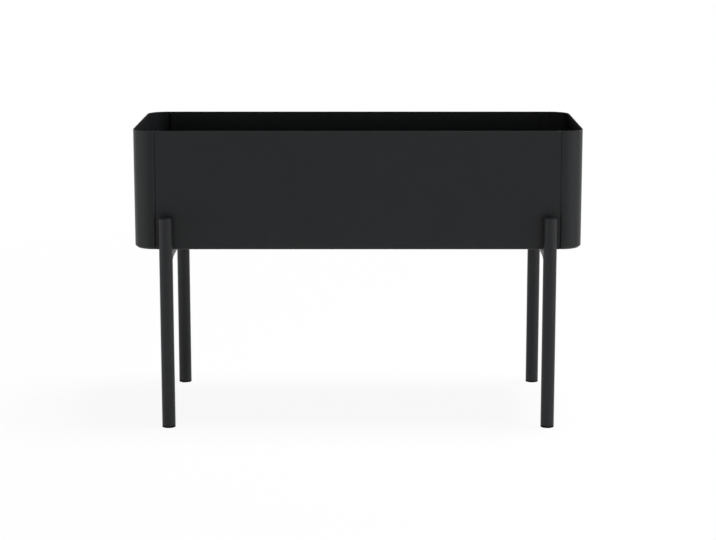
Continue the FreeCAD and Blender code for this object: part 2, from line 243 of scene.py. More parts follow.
def new_material(name):
    material = bpy.data.materials.new(name)
    tree = empty_tree(material)
    shader = tree.nodes.new("ShaderNodeBsdfPrincipled")
    add_node(tree, "ShaderNodeOutputMaterial", Surface=shader.outputs["BSDF"])
    place = tree.nodes.new("ShaderNodeTexCoord").outputs["Object"]
    return material, tree, shader, place


def wire(tree, shader, colour, roughness, normal):
    for name, value in (("Base Color", colour), ("Roughness", roughness), ("Normal", normal)):
        feed(tree, shader.inputs[name], value)


# %% Patterns
MIX_COLOURS = (6, 7)  # the Mix node has sockets for several kinds of data; these two take colours
MIX_RESULT = 2


def noise(tree, place, scale, detail=2.0, roughness=0.5):
    node = add_node(
        tree, "ShaderNodeTexNoise", Vector=place, Scale=scale, Detail=detail, Roughness=roughness
    )
    return node.outputs["Fac"]


def spread(tree, value, low, high, low_from=0.3, high_from=0.7):
    """Stretch a pattern's middle range to run from low to high."""
    limits = {"From_Min": low_from, "From_Max": high_from, "To_Min": low, "To_Max": high}
    return add_node(tree, "ShaderNodeMapRange", Value=value, **limits).outputs["Result"]


def mixed_colour(tree, amount, first, second):
    """A colour between two; amount is a pattern, and each colour may be an output or plain numbers."""
    node = add_node(tree, "ShaderNodeMix", {"data_type": "RGBA"})
    feed(tree, node.inputs[0], amount)
    for number, colour in zip(MIX_COLOURS, (first, second)):
        feed(tree, node.inputs[number], (*colour, 1.0) if isinstance(colour, tuple) else colour)
    return node.outputs[MIX_RESULT]


def bump(tree, height, strength, distance, before=None):
    node = add_node(tree, "ShaderNodeBump", Height=height, Strength=strength, Distance=distance)
    if before:
        feed(tree, node.inputs["Normal"], before)
    return node.outputs["Normal"]


# %% [markdown]
# ### Powder coat
#
# The box and the legs are coated in a matt anthracite powder. Melted powder never lies quite flat: it
# has long shallow waves, called orange peel, and a fine grit. Its tone and its sheen drift a little
# over the sheet, and it is thinner, so slightly lighter, on edges. A flat dark grey could give the
# average colour, but close up it would look like plastic film, so each of those effects is a node here.
# The coat mirrors little light straight on and more at a glancing angle, which the shader does by
# itself.

# %% Powder coat
COAT_DARK = (0.0165, 0.0176, 0.0190)
COAT_LIGHT = (0.0215, 0.0228, 0.0245)
COAT_EDGE = (0.0300, 0.0310, 0.0330)
COAT_SPECULAR = 0.17
COAT_SMOOTH = 0.38
COAT_ROUGH = 0.42
GRIT_SHARE = 0.5
DRIFT_SHARE = 0.5
EDGE_SHARE = 0.6
EDGE_START = 0.52
EDGE_FULL = 0.60
PEEL_HEIGHT = 0.12 * MM
GRIT_HEIGHT = 0.04 * MM

powder_coat, tree, shader, place = new_material("powder_coat")
drift = noise(tree, place, scale=7.0, detail=3.0)
grit = noise(tree, place, scale=2600.0, detail=1.0)
peel = noise(tree, place, scale=420.0, detail=2.0)
tone = calculated(tree, "MULTIPLY_ADD", grit, GRIT_SHARE, spread(tree, drift, 0.0, DRIFT_SHARE))
coat_colour = mixed_colour(tree, tone, COAT_DARK, COAT_LIGHT)
pointed = tree.nodes.new("ShaderNodeNewGeometry").outputs["Pointiness"]
thinner = spread(tree, pointed, 0.0, EDGE_SHARE, low_from=EDGE_START, high_from=EDGE_FULL)
waves = bump(tree, peel, strength=0.6, distance=PEEL_HEIGHT)
wire(
    tree,
    shader,
    colour=mixed_colour(tree, thinner, coat_colour, COAT_EDGE),
    roughness=spread(tree, drift, COAT_SMOOTH, COAT_ROUGH),
    normal=bump(tree, grit, strength=0.6, distance=GRIT_HEIGHT, before=waves),
)
shader.inputs["Specular IOR Level"].default_value = COAT_SPECULAR
print("powder coat:", len(tree.nodes), "nodes")

# %% [markdown]
# ### Glides, fasteners and washers
#
# The glides are black moulded plastic with a fine stipple; they are scuffed where they touch the floor.
# Their black is made deeper than the plastic's own, as painted shade where the glides stand on the floor.
# Screws, studs and nuts are zinc-plated steel, which is metal with a cool tint that changes in patches.
# The washers are rubber, dull and slightly dusty.

# %% Moulded plastic of the glides
# the plastic's own black, made deeper as painted shade of the floor contact under the glides
PLASTIC_BLACK_AND_SHADE = (0.0016, 0.0016, 0.0017)
PLASTIC_SCUFF = (0.012, 0.012, 0.011)
PLASTIC_SPECULAR = 0.08
PLASTIC_SMOOTH = 0.62
PLASTIC_ROUGH = 0.78
SCUFF_HEIGHT = 1.2 * MM
SCUFF_SHARE = 0.8
SCRATCH_START = 0.45

glide_plastic, tree, shader, place = new_material("glide_plastic")
stipple = noise(tree, place, scale=1800.0, detail=2.0)
scratches = noise(tree, place, scale=300.0, detail=4.0, roughness=0.7)
height = add_node(tree, "ShaderNodeSeparateXYZ", Vector=place).outputs["Z"]
near_floor = spread(tree, height, 1.0, 0.0, low_from=0.0, high_from=SCUFF_HEIGHT)
scratched = spread(tree, scratches, 0.0, SCUFF_SHARE, low_from=SCRATCH_START)
scuffed = calculated(tree, "MULTIPLY", near_floor, scratched)
wire(
    tree,
    shader,
    colour=mixed_colour(tree, scuffed, PLASTIC_BLACK_AND_SHADE, PLASTIC_SCUFF),
    roughness=spread(tree, scratches, PLASTIC_SMOOTH, PLASTIC_ROUGH),
    normal=bump(tree, stipple, strength=0.3, distance=0.03 * MM),
)
shader.inputs["Specular IOR Level"].default_value = PLASTIC_SPECULAR
print("glide plastic:", len(tree.nodes), "nodes")

# %% Zinc plate of the fasteners
ZINC_COOL = (0.50, 0.53, 0.57)
ZINC_WARM = (0.58, 0.57, 0.54)
ZINC_SMOOTH = 0.42
ZINC_ROUGH = 0.58

zinc_steel, tree, shader, place = new_material("zinc_steel")
patches = noise(tree, place, scale=260.0, detail=3.0)
spangle = noise(tree, place, scale=1500.0, detail=3.0, roughness=0.6)
wire(
    tree,
    shader,
    colour=mixed_colour(tree, spread(tree, patches, 0.0, 1.0), ZINC_COOL, ZINC_WARM),
    roughness=spread(tree, spangle, ZINC_SMOOTH, ZINC_ROUGH),
    normal=bump(tree, spangle, strength=0.15, distance=0.02 * MM),
)
shader.inputs["Metallic"].default_value = 1.0
print("zinc steel:", len(tree.nodes), "nodes")

# %% Rubber of the washers
RUBBER_DARK = (0.010, 0.010, 0.010)
RUBBER_DUST = (0.034, 0.033, 0.031)
RUBBER_SMOOTH = 0.78
RUBBER_ROUGH = 0.92
DUST_SHARE = 0.7
DUST_START = 0.45

washer_rubber, tree, shader, place = new_material("washer_rubber")
dust = noise(tree, place, scale=500.0, detail=4.0, roughness=0.6)
dusty = spread(tree, dust, 0.0, DUST_SHARE, low_from=DUST_START)
wire(
    tree,
    shader,
    colour=mixed_colour(tree, dusty, RUBBER_DARK, RUBBER_DUST),
    roughness=spread(tree, dust, RUBBER_SMOOTH, RUBBER_ROUGH),
    normal=bump(tree, dust, strength=0.2, distance=0.03 * MM),
)
print("washer rubber:", len(tree.nodes), "nodes")

# %% [markdown]
# ## Folded sheet
#
# A folded sheet follows a rule: one section runs along one path. The trough is a U that runs along X.
# An end cap is a wall with a bottom flange that runs round two corners. So one Geometry Nodes tree makes
# both: it rounds the corners of the path and the folds of the section with Fillet Curve, then sweeps
# the section along the path with Curve to Mesh. Modelling the bends by hand would work as well, but then
# each radius would be frozen into the vertices.
#
# The sweep has no thickness yet. A Solidify modifier adds it on the inside, as real sheet has it.

# %% A helper that builds trees with named inputs
def new_tree(name, inputs):
    tree = bpy.data.node_groups.new(name, "GeometryNodeTree")
    tree.interface.new_socket("Geometry", in_out="INPUT", socket_type="NodeSocketGeometry")
    for title, kind in inputs.items():
        tree.interface.new_socket(title, in_out="INPUT", socket_type=kind)
    tree.interface.new_socket("Geometry", in_out="OUTPUT", socket_type="NodeSocketGeometry")
    return tree, tree.nodes.new("NodeGroupInput").outputs


def end_tree(tree, geometry, material):
    """Every tree ends the same way: real geometry, one material."""
    real = add_node(tree, "GeometryNodeRealizeInstances", Geometry=geometry)
    painted = add_node(
        tree, "GeometryNodeSetMaterial", Geometry=real.outputs["Geometry"], Material=material
    )
    add_node(tree, "NodeGroupOutput", Geometry=painted.outputs["Geometry"])


def run_tree(obj, tree, values):
    """Run the tree on the object and give back a plain mesh; the object is used up."""
    modifier = obj.modifiers.new(tree.name, "NODES")
    modifier.node_group = tree
    for socket in tree.interface.items_tree:
        if socket.in_out == "INPUT" and socket.name in values:
            modifier[socket.identifier] = values[socket.name]
    return baked(obj)


# %% The tree that folds a sheet
fold_tree, fold_inputs = new_tree(
    "fold_sheet",
    {
        "Section": "NodeSocketObject",
        "Corner Radius": "NodeSocketFloat",
        "Corner Steps": "NodeSocketInt",
        "Fold Radius": "NodeSocketFloat",
        "Fold Steps": "NodeSocketInt",
        "Material": "NodeSocketMaterial",
    },
)
rounded_path = add_node(
    fold_tree,
    "GeometryNodeFilletCurve",
    {"mode": "POLY"},
    Curve=fold_inputs["Geometry"],
    Count=fold_inputs["Corner Steps"],
    Radius=fold_inputs["Corner Radius"],
)
upright_path = add_node(
    fold_tree, "GeometryNodeSetCurveNormal", {"mode": "Z_UP"}, Curve=rounded_path.outputs["Curve"]
)
section = add_node(fold_tree, "GeometryNodeObjectInfo", Object=fold_inputs["Section"])
rounded_section = add_node(
    fold_tree,
    "GeometryNodeFilletCurve",
    {"mode": "POLY"},
    Curve=section.outputs["Geometry"],
    Count=fold_inputs["Fold Steps"],
    Radius=fold_inputs["Fold Radius"],
)
swept = add_node(
    fold_tree,
    "GeometryNodeCurveToMesh",
    Curve=upright_path.outputs["Curve"],
    Profile_Curve=rounded_section.outputs["Curve"],
)
welded = add_node(
    fold_tree, "GeometryNodeMergeByDistance", Geometry=swept.outputs["Mesh"], Distance=JOIN_DISTANCE
)
end_tree(fold_tree, welded.outputs["Geometry"], fold_inputs["Material"])
print("fold tree:", len(fold_tree.nodes), "nodes")

# %% [markdown]
# Path and section are poly curves with only their corner points. In a sweep with upright normals the
# section's own X axis points to the right of the path, which is outwards here, and its Y axis points
# down, so a point at a depth behind the outer face and at a height is written as (-depth, -height).

# %% Sweep a section along a path
FOLD_STEPS = 6
CORNER_STEPS = 20
STEP_RADIUS = 1.5 * MM


def poly_curve(name, points, closed=False):
    curve = bpy.data.curves.new(name, "CURVE")
    curve.dimensions = "3D"
    spline = curve.splines.new("POLY")
    spline.points.add(len(points) - 1)
    for point, place in zip(spline.points, points):
        point.co = (*place, 1)
    spline.use_cyclic_u = closed
    return new_object(name, curve)


def fold(path, section, corner_radius, corner_steps):
    """path: (x, y) corners. section: (depth behind the outer face, height) corners, from the rim down."""
    path_curve = poly_curve("path", [(x, y, 0) for x, y in path])
    section_curve = poly_curve("section", [(-depth, -height, 0) for depth, height in section])
    mesh = run_tree(
        path_curve,
        fold_tree,
        {
            "Section": section_curve,
            "Corner Radius": corner_radius,
            "Corner Steps": corner_steps,
            "Fold Radius": BEND_RADIUS,
            "Fold Steps": FOLD_STEPS,
            "Material": powder_coat,
        },
    )
    bpy.data.objects.remove(section_curve)
    return mesh


def thickened(mesh):
    obj = new_object("thickened", mesh)
    solidify = obj.modifiers.new("solidify", "SOLIDIFY")
    solidify.thickness = SHEET
    solidify.offset = -1
    solidify.use_even_offset = True
    return baked(obj)


# %% [markdown]
# ### The trough
#
# Front wall, floor and back wall are one sheet. At each end the floor goes on as a tongue with rounded
# corners, which the end cap stands on. The tongue is one more face on the end of the swept floor. The
# holes for water and for the leg screws are cut once the sheet has its thickness.

# %% Sweep the trough
trough_mesh = fold(
    [(-WALL_END, -BOX_SIDE), (WALL_END, -BOX_SIDE)],
    [
        (0, RIM),
        (0, UNDERSIDE),
        (BOX_SIDE - TONGUE_SIDE, UNDERSIDE),
        (BOX_SIDE + TONGUE_SIDE, UNDERSIDE),
        (2 * BOX_SIDE, UNDERSIDE),
        (2 * BOX_SIDE, RIM),
    ],
    corner_radius=0,
    corner_steps=1,
)
print("trough sweep:", len(trough_mesh.polygons), "faces")

# %% Add a tongue at each end
TONGUE_RADIUS = CORNER_RADIUS - TONGUE_INSET
TONGUE_STEPS = 12


def quarter_turns(count):
    return [math.pi / 2 * step / count for step in range(count + 1)]


def nearest(bm, place):
    return min(bm.verts, key=lambda vert: (vert.co - Vector(place)).length)


bm = bmesh.new()
bm.from_mesh(trough_mesh)
for side in (-1, 1):
    roots = [nearest(bm, (side * WALL_END, y, UNDERSIDE)) for y in (TONGUE_SIDE, -TONGUE_SIDE)]
    arc = [
        (
            side * (TONGUE_END - TONGUE_RADIUS + TONGUE_RADIUS * math.sin(turn)),
            TONGUE_SIDE - TONGUE_RADIUS + TONGUE_RADIUS * math.cos(turn),
        )
        for turn in quarter_turns(TONGUE_STEPS)
    ]
    edge = arc + [(x, -y) for x, y in reversed(arc)]
    rounded_end = [bm.verts.new((x, y, UNDERSIDE)) for x, y in edge]
    bm.faces.new([roots[0], *rounded_end, roots[1]])
trough_mesh = mesh_from(bm, "trough")
lowest = min(trough_mesh.polygons, key=lambda face: face.center.z)
if lowest.normal.z > 0:
    trough_mesh.flip_normals()
print("trough with tongues:", len(trough_mesh.polygons), "faces, floor normal", round(lowest.normal.z))

# %% [markdown]
# A cutter is a mesh of plain cylinders, one for each hole. The places of the leg screws are read from the
# frame: each loose island of a node is one fastener.

# %% Find the fasteners of a node
SAME_POINT = 0.001 * MM
SORT_DIGITS = 4


def islands(node):
    """The lowest and highest corner of every loose solid in a node."""
    bm = bmesh.new()
    bm.from_mesh(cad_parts[node].data)
    bmesh.ops.remove_doubles(bm, verts=bm.verts, dist=SAME_POINT)
    todo = set(bm.verts)
    boxes = []
    while todo:
        front = [todo.pop()]
        found = []
        while front:
            vert = front.pop()
            found.append(vert.co.copy())
            for edge in vert.link_edges:
                other = edge.other_vert(vert)
                if other in todo:
                    todo.remove(other)
                    front.append(other)
        low = Vector(min(point[axis] for point in found) for axis in range(3))
        high = Vector(max(point[axis] for point in found) for axis in range(3))
        boxes.append((low, high))
    bm.free()
    return sorted(boxes, key=lambda box: tuple(round(value, SORT_DIGITS) for value in box[0]))


screw_boxes = islands("leg_screws")
print("leg screws:", len(screw_boxes))

# %% Helpers for holes
HOLE_SIDES = 48
CUTTER_LENGTH = 4 * SHEET
UP = Vector((0, 0, 1))


def cylinder(bm, centre, radius, along):
    turn = UP.rotation_difference(along).to_matrix().to_4x4()
    bmesh.ops.create_cone(
        bm,
        cap_ends=True,
        segments=HOLE_SIDES,
        radius1=radius,
        radius2=radius,
        depth=CUTTER_LENGTH,
        matrix=Matrix.Translation(centre) @ turn,
    )


def cut(mesh, cutter_mesh):
    """The mesh without the cutter's volume; the cutter is used up."""
    obj = new_object("cut", mesh)
    cutter = new_object("cutter", cutter_mesh)
    boolean = obj.modifiers.new("boolean", "BOOLEAN")
    boolean.operation = "DIFFERENCE"
    boolean.solver = "EXACT"
    boolean.object = cutter
    result = baked(obj)
    bpy.data.objects.remove(cutter)
    return result


# %% Cut the holes and finish the trough
DRAIN_RADIUS = 6 * MM
DRAIN_MARGIN = 170 * MM
DRAIN_COUNT = 4
SCREW_HOLE_RADIUS = 3.25 * MM
SHEET_EDGE = 0.35 * MM

bm = bmesh.new()
drain_pitch = 2 * (BOX_END - DRAIN_MARGIN) / (DRAIN_COUNT - 1)
for hole in range(DRAIN_COUNT):
    centre = Vector((DRAIN_MARGIN - BOX_END + hole * drain_pitch, 0, UNDERSIDE))
    cylinder(bm, centre, DRAIN_RADIUS, UP)
for low, high in screw_boxes:
    middle = (low + high) / 2
    centre = Vector((middle.x, math.copysign(BOX_SIDE, middle.y), middle.z))
    cylinder(bm, centre, SCREW_HOLE_RADIUS, Vector((0, 1, 0)))
holes = mesh_from(bm, "trough_holes")
trough_mesh = with_soft_edges(cut(thickened(trough_mesh), holes), SHEET_EDGE)
keep_piece("folded_trough", trough_mesh, powder_coat, "powder_coat", "trough")

# %% [markdown]
# ### The end caps
#
# Each cap is swept round its two corners. Its upright edges step inwards by one sheet, so that the lap
# lies behind the wall of the trough and the outsides are flush, with a narrow groove between them. The
# two laps are short sweeps of their own, joined to the cap where the step begins. The left cap is the
# right one after half a turn.

# %% Sweep an end cap and its laps
def joined(meshes, name):
    bm = bmesh.new()
    for mesh in meshes:
        bm.from_mesh(mesh)
    bmesh.ops.remove_doubles(bm, verts=bm.verts, dist=JOIN_DISTANCE)
    return mesh_from(bm, name)


wall_foot = CAP_FOOT + BEND_RADIUS
lap_face = BOX_SIDE - SHEET
cap_path = [(CAP_EDGE, -BOX_SIDE), (BOX_END, -BOX_SIDE), (BOX_END, BOX_SIDE), (CAP_EDGE, BOX_SIDE)]
cap_section = [(0, RIM), (0, CAP_FOOT), (FLANGE_WIDTH, CAP_FOOT)]
lap_path = [(LAP_EDGE, -lap_face), (LAP_ROOT, -lap_face), (CAP_EDGE, -BOX_SIDE)]
lap_section = [(0, RIM), (0, wall_foot)]
cap_mesh = joined(
    [
        fold(cap_path, cap_section, CORNER_RADIUS, CORNER_STEPS),
        fold(lap_path, lap_section, STEP_RADIUS, FOLD_STEPS),
        fold([(x, -y) for x, y in reversed(lap_path)], lap_section, STEP_RADIUS, FOLD_STEPS),
    ],
    "end_cap",
)
outermost = max(cap_mesh.polygons, key=lambda face: face.center.x)
if outermost.normal.x < 0:
    cap_mesh.flip_normals()
print("end cap sweep:", len(cap_mesh.polygons), "faces")

# %% Finish both end caps
right_cap = with_soft_edges(thickened(cap_mesh), SHEET_EDGE)
left_cap = right_cap.copy()
left_cap.transform(Matrix.Rotation(math.pi, 4, "Z"))
keep_piece("right_end_sheet", right_cap, powder_coat, "powder_coat", "right_end_cap")
keep_piece("left_end_sheet", left_cap, powder_coat, "powder_coat", "left_end_cap")

# %% [markdown]
# ## Legs
#
# Legs, discs, glides and most fasteners are turned shapes: one outline spun round an axis. Blender has a
# Screw modifier for that; a short function gives control over the poles, so that no loose points are
# left where the outline meets the axis. It also lets a radius or a height change with the turn, which
# the hexagons of the fasteners need later on.

# %% Turn an outline round the Z axis
TURNED_SIDES = 64


def at_turn(value, turn):
    return value(turn) if callable(value) else value


def turned(name, outline, closed=False, sides=TURNED_SIDES):
    """outline: (radius, height) corners, each a number or a function of the turn.
    A closed outline makes a ring, an open one ends on the axis."""
    bm = bmesh.new()
    rings = []
    for radius, height in outline:
        count = 1 if radius == 0 else sides
        ring = []
        for step in range(count):
            turn = 2 * math.pi * step / count
            reach = at_turn(radius, turn)
            place = (reach * math.cos(turn), reach * math.sin(turn), at_turn(height, turn))
            ring.append(bm.verts.new(place))
        rings.append(ring)
    pairs = list(zip(rings, rings[1:]))
    if closed:
        pairs.append((rings[-1], rings[0]))
    for lower, upper in pairs:
        for step in range(sides):
            after = (step + 1) % sides
            corners = [lower[step % len(lower)], lower[after % len(lower)]]
            corners += [upper[after % len(upper)], upper[step % len(upper)]]
            bm.faces.new(dict.fromkeys(corners))
    return mesh_from(bm, name)


def moved(mesh, x, y):
    copy = mesh.copy()
    copy.transform(Matrix.Translation((x, y, 0)))
    return copy


# %% Legs with their closing discs
DISC_EDGE = 0.6 * MM
DISC_SHARP = math.radians(60)
MID_ARC = 0.3  # how far in from the corner the middle of a rounded edge lies, as a share of its radius

bore_radius = LEG_RADIUS - TUBE_WALL
leg_tube = turned(
    "leg_tube",
    [
        (LEG_RADIUS, leg_low.z),
        (LEG_RADIUS, leg_high.z),
        (bore_radius, leg_high.z),
        (bore_radius, leg_low.z),
    ],
    closed=True,
)
leg_disc = turned(
    "leg_disc",
    [
        (0, disc_low.z),
        (LEG_RADIUS, disc_low.z),
        (LEG_RADIUS, disc_high.z - DISC_EDGE),
        (LEG_RADIUS - MID_ARC * DISC_EDGE, disc_high.z - MID_ARC * DISC_EDGE),
        (LEG_RADIUS - DISC_EDGE, disc_high.z),
        (0, disc_high.z),
    ],
)
crease(leg_tube)
crease(leg_disc, DISC_SHARP)
for corner, (x, y) in LEG_CORNERS.items():
    keep_piece(f"{corner}_tube", moved(leg_tube, x, y), powder_coat, "powder_coat", f"{corner}_leg")
    keep_piece(f"{corner}_top", moved(leg_disc, x, y), powder_coat, "powder_coat", f"{corner}_leg_disc")

# %% [markdown]
# ### Glides
#
# A glide is a plastic plug with barbs that grip inside the tube. Only its lowest band shows, a black
# ring under the coated steel.

# %% Glides
BAND_HEIGHT = leg_low.z
BAND_EDGE = 0.15 * MM
GLIDE_EDGE = 0.8 * MM
GLIDE_SHARP = math.radians(50)
BARB = 1.0 * MM
BARB_CLEARANCE = 0.1 * MM
BARB_PITCH = 6.0 * MM
BARB_COUNT = 2

barb_radius = bore_radius - BARB_CLEARANCE
core_radius = barb_radius - BARB
glide_outline = [
    (0, 0),
    (LEG_RADIUS - GLIDE_EDGE, 0),
    (LEG_RADIUS - MID_ARC * GLIDE_EDGE, MID_ARC * GLIDE_EDGE),
    (LEG_RADIUS, GLIDE_EDGE),
    (LEG_RADIUS, BAND_HEIGHT - BAND_EDGE),
    (LEG_RADIUS - BAND_EDGE, BAND_HEIGHT),
    (core_radius, BAND_HEIGHT),
]
for barb in range(BARB_COUNT):
    barb_foot = BAND_HEIGHT + (barb + 0.5) * BARB_PITCH
    glide_outline += [
        (core_radius, barb_foot),
        (barb_radius, barb_foot),
        (core_radius, barb_foot + BARB_PITCH / 2),
    ]
glide_outline += [(core_radius, glide_top), (0, glide_top)]
foot_glide = turned("foot_glide", glide_outline)
crease(foot_glide, GLIDE_SHARP)
for corner, (x, y) in LEG_CORNERS.items():
    keep_piece(
        f"{corner}_glide", moved(foot_glide, x, y), glide_plastic, "glide_plastic", f"{corner}_foot_glide"
    )

# %% [markdown]
# ### Cross tubes
#
# A cross tube ends in a saddle: it is cut to fit round the leg. Every point of its rim lies on the leg's
# surface, so the place of the rim is a formula of how far the point is from the tube's middle plane.

# %% Cross tubes
RAIL_SIDES = 64


def saddle(across):
    """How far from the middle of the planter the leg's surface is, at a distance across its axis."""
    return LEG_Y - math.sqrt(LEG_RADIUS**2 - across**2)


def rail_ring(bm, x, radius, side):
    turns = [2 * math.pi * step / RAIL_SIDES for step in range(RAIL_SIDES)]
    return [
        bm.verts.new(
            (
                x + radius * math.cos(turn),
                side * saddle(radius * math.cos(turn)),
                RAIL_HEIGHT + radius * math.sin(turn),
            )
        )
        for turn in turns
    ]


inner_radius = RAIL_RADIUS - TUBE_WALL
for end, x in (("left", -LEG_X), ("right", LEG_X)):
    bm = bmesh.new()
    loop = [
        rail_ring(bm, x, RAIL_RADIUS, -1),
        rail_ring(bm, x, RAIL_RADIUS, 1),
        rail_ring(bm, x, inner_radius, 1),
        rail_ring(bm, x, inner_radius, -1),
    ]
    for first, second in zip(loop, loop[1:] + loop[:1]):
        for step in range(RAIL_SIDES):
            after = (step + 1) % RAIL_SIDES
            bm.faces.new([first[step], first[after], second[after], second[step]])
    rail = mesh_from(bm, f"{end}_rail")
    crease(rail)
    keep_piece(f"{end}_rail", rail, powder_coat, "powder_coat", f"{end}_cross_tube")

# %% [markdown]
# ### Weld beads
#
# The cross tubes are welded to the legs, and a weld leaves a bead of small overlapping ripples. The bead
# follows a path, the saddle curve, so Geometry Nodes sweep a small circle along it. The circle's scale
# goes up and down with the length already travelled, which makes the ripples.

# %% The tree that lays a weld bead
RIPPLE_STEPS = 6
BEAD_SIDES = 12

weld_tree, weld_inputs = new_tree(
    "weld_bead",
    {
        "Bead Radius": "NodeSocketFloat",
        "Ripple Count": "NodeSocketInt",
        "Ripple Depth": "NodeSocketFloat",
        "Material": "NodeSocketMaterial",
    },
)
ripple_count = weld_inputs["Ripple Count"]
points_along = calculated(weld_tree, "MULTIPLY", ripple_count, RIPPLE_STEPS)
bead_path = add_node(
    weld_tree, "GeometryNodeResampleCurve", Curve=weld_inputs["Geometry"], Count=points_along
)
travelled = add_node(weld_tree, "GeometryNodeSplineParameter").outputs["Factor"]
ripple = calculated(weld_tree, "FRACT", calculated(weld_tree, "MULTIPLY", travelled, ripple_count))
hump = calculated(weld_tree, "SINE", calculated(weld_tree, "MULTIPLY", ripple, math.pi))
swell = calculated(weld_tree, "MULTIPLY_ADD", hump, weld_inputs["Ripple Depth"], 1.0)
bead_circle = add_node(
    weld_tree, "GeometryNodeCurvePrimitiveCircle", Resolution=BEAD_SIDES, Radius=weld_inputs["Bead Radius"]
)
bead = add_node(
    weld_tree,
    "GeometryNodeCurveToMesh",
    Curve=bead_path.outputs["Curve"],
    Profile_Curve=bead_circle.outputs["Curve"],
    Scale=swell,
)
end_tree(weld_tree, bead.outputs["Mesh"], weld_inputs["Material"])
print("weld tree:", len(weld_tree.nodes), "nodes")

# %% Lay the four beads
BEAD_RADIUS = 1.5 * MM
RIPPLE_COUNT = 44
RIPPLE_DEPTH = 0.22
PATH_STEPS = 120

for corner, (x, y) in LEG_CORNERS.items():
    side = math.copysign(1, y)
    path = []
    for step in range(PATH_STEPS):
        turn = 2 * math.pi * step / PATH_STEPS
        across = RAIL_RADIUS * math.cos(turn)
        path.append((x + across, side * saddle(across), RAIL_HEIGHT + RAIL_RADIUS * math.sin(turn)))
    bead_mesh = run_tree(
        poly_curve("bead_path", path, closed=True),
        weld_tree,
        {
            "Bead Radius": BEAD_RADIUS,
            "Ripple Count": RIPPLE_COUNT,
            "Ripple Depth": RIPPLE_DEPTH,
            "Material": powder_coat,
        },
    )
    bead_mesh.shade_smooth()
    keep_piece(f"{corner}_weld", bead_mesh, powder_coat, "powder_coat")

# %% [markdown]
# ## Fasteners
#
# Every kind of fastener is modelled once, with its axis along Z and its inner end at the origin. Geometry
# Nodes then set a copy on every place that the frame names. A nut is never tightened to the same angle
# twice, so a seeded random turn about the axis belongs to the tree too.

# %% The tree that sets fasteners
fasten_tree, fasten_inputs = new_tree(
    "set_fasteners",
    {
        "Fastener": "NodeSocketObject",
        "Most Turn": "NodeSocketFloat",
        "Seed": "NodeSocketInt",
        "Material": "NodeSocketMaterial",
    },
)
template = add_node(fasten_tree, "GeometryNodeObjectInfo", Object=fasten_inputs["Fastener"])
axis = add_node(fasten_tree, "GeometryNodeInputNamedAttribute", {"data_type": "FLOAT_VECTOR"}, Name="axis")
aimed = add_node(
    fasten_tree, "FunctionNodeAlignRotationToVector", {"axis": "Z"}, Vector=axis.outputs["Attribute"]
)
angle = add_node(fasten_tree, "FunctionNodeRandomValue", {"data_type": "FLOAT"}, Seed=fasten_inputs["Seed"])
most = next(socket for socket in angle.inputs if socket.name == "Max" and socket.type == "VALUE")
fasten_tree.links.new(fasten_inputs["Most Turn"], most)
turn = add_node(fasten_tree, "FunctionNodeAxisAngleToRotation", Axis=(0, 0, 1))
fasten_tree.links.new(angle.outputs[1], turn.inputs["Angle"])
tightened = add_node(
    fasten_tree,
    "FunctionNodeRotateRotation",
    {"rotation_space": "LOCAL"},
    Rotation=aimed.outputs["Rotation"],
    Rotate_By=turn.outputs["Rotation"],
)
copies = add_node(
    fasten_tree,
    "GeometryNodeInstanceOnPoints",
    Points=fasten_inputs["Geometry"],
    Instance=template.outputs["Geometry"],
    Rotation=tightened.outputs["Rotation"],
)
end_tree(fasten_tree, copies.outputs["Instances"], fasten_inputs["Material"])
print("fastener tree:", len(fasten_tree.nodes), "nodes")

# %% [markdown]
# The inner end of a wall fastener is the end nearer to the middle of the box, and its axis points there.
# A floor fastener points up.

# %% Set one kind of fastener on all its places
def inner_ends(node, on_floor):
    for low, high in islands(node):
        middle = (low + high) / 2
        if on_floor:
            yield Vector((middle.x, middle.y, high.z)), Vector((0, 0, 1))
        else:
            inner = high.y if middle.y < 0 else low.y
            yield Vector((middle.x, inner, middle.z)), Vector((0, -math.copysign(1, middle.y), 0))


def set_fasteners(name, template_mesh, node, material, slot, on_floor=False, most_turn=0.0, seed=1):
    places, axes = zip(*inner_ends(node, on_floor))
    points = bpy.data.meshes.new("places")
    points.from_pydata([tuple(place) for place in places], [], [])
    attribute = points.attributes.new("axis", "FLOAT_VECTOR", "POINT")
    for item, direction in zip(attribute.data, axes):
        item.vector = direction
    fastener = new_object("fastener", template_mesh)
    mesh = run_tree(
        new_object("places", points),
        fasten_tree,
        {"Fastener": fastener, "Most Turn": most_turn, "Seed": seed, "Material": material},
    )
    bpy.data.objects.remove(fastener)
    keep_piece(name, mesh, material, slot, node)


# %% [markdown]
# ### Screws, washers and rivet nuts of the legs
#
# A button-head screw is a turned shape, and so is its hexagon socket, if the radius follows a hexagon as
# it goes round. Cutting the socket with a prism would work too, but a Boolean leaves slivers at the edges.
# The washer is a plain ring with soft edges. The rivet nut is a flanged sleeve whose flange shows between
# leg and wall. The sides of all these are a multiple of six, so that a hexagon keeps its corners.

# %% Leg screws
FASTENER_SIDES = 48
HEAD_RADIUS = 5.25 * MM
HEAD_HEIGHT = 3.3 * MM
HEAD_RIM = 1.2 * MM
CROWN_RADIUS = 3.2 * MM
SHANK_RADIUS = 3.0 * MM
SHANK_LENGTH = 16.0 * MM
SOCKET_WIDTH = 4.0 * MM
SOCKET_DEPTH = 2.0 * MM
SCREW_EDGE = 0.12 * MM
DOME_STEPS = 5
SIXTH_TURN = math.pi / 3


def hexagon(width):
    """The radius of a hexagon, which is measured across its flats, as a function of the turn."""
    def radius(turn):
        return width / 2 / math.cos(turn % SIXTH_TURN - SIXTH_TURN / 2)

    return radius


